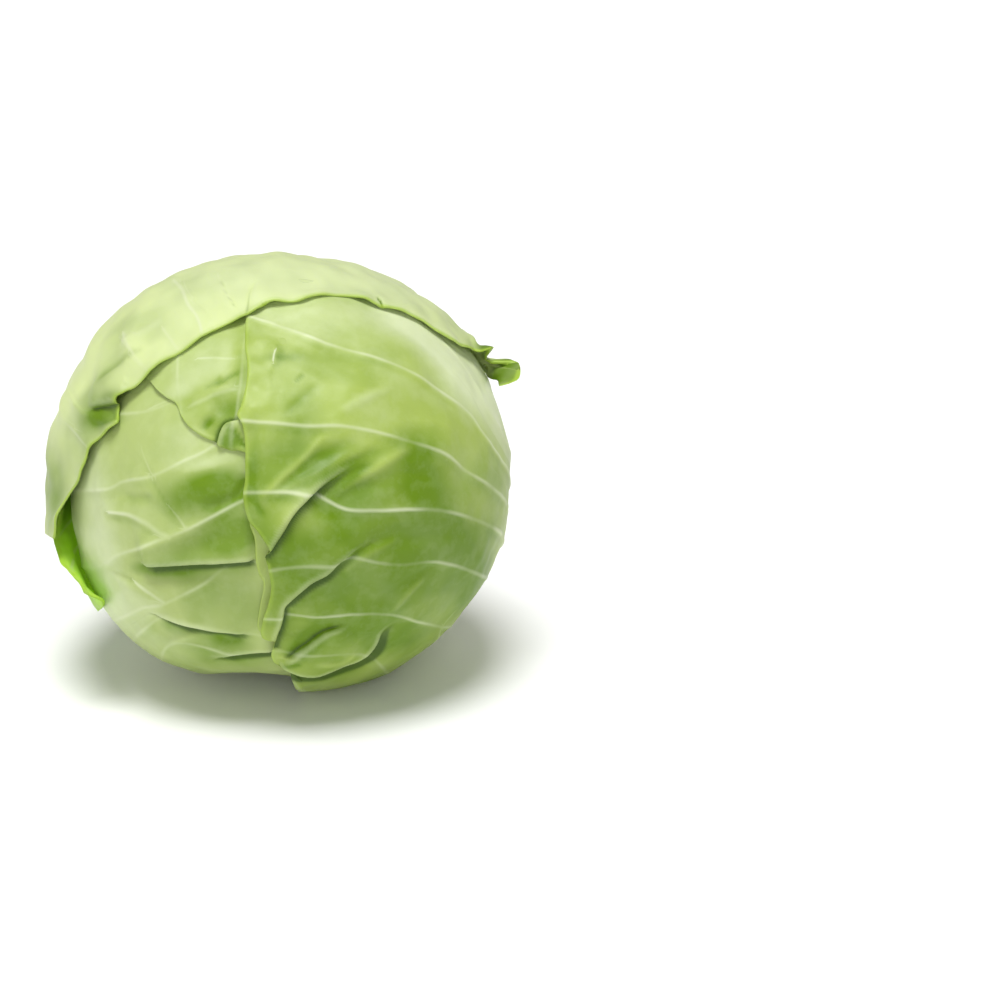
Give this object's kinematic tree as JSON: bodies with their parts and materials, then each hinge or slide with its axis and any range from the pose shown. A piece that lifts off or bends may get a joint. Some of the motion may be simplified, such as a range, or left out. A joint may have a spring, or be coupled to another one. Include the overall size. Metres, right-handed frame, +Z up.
{
  "type": "cabbage head",
  "caption": "Whole head of white cabbage lying on a small flat spot, wrapped in large waved outer leaves around a tight ball on a short stem.",
  "frame": {"origin": "middle of the small flat spot on the underside that the head rests on", "axes": "+Z up, +X along the head's width (to the right as seen from the crown), +Y from the crown towards the stem"},
  "size_m": [0.1842, 0.1769, 0.1652],
  "materials": {
    "inner_head": "satin",
    "stem": "matte",
    "leaf_left": "waxy satin",
    "leaf_middle": "waxy satin",
    "leaf_right": "waxy satin",
    "leaf_outer": "waxy satin",
    "leaf_cap": "waxy satin"
  },
  "bodies": {
    "root": {"inner_head": "inner_head", "stem": "stem", "leaf_left": "leaf_left", "leaf_middle": "leaf_middle", "leaf_right": "leaf_right", "leaf_outer": "leaf_outer", "leaf_cap": "leaf_cap"}
  },
  "joints": []
}
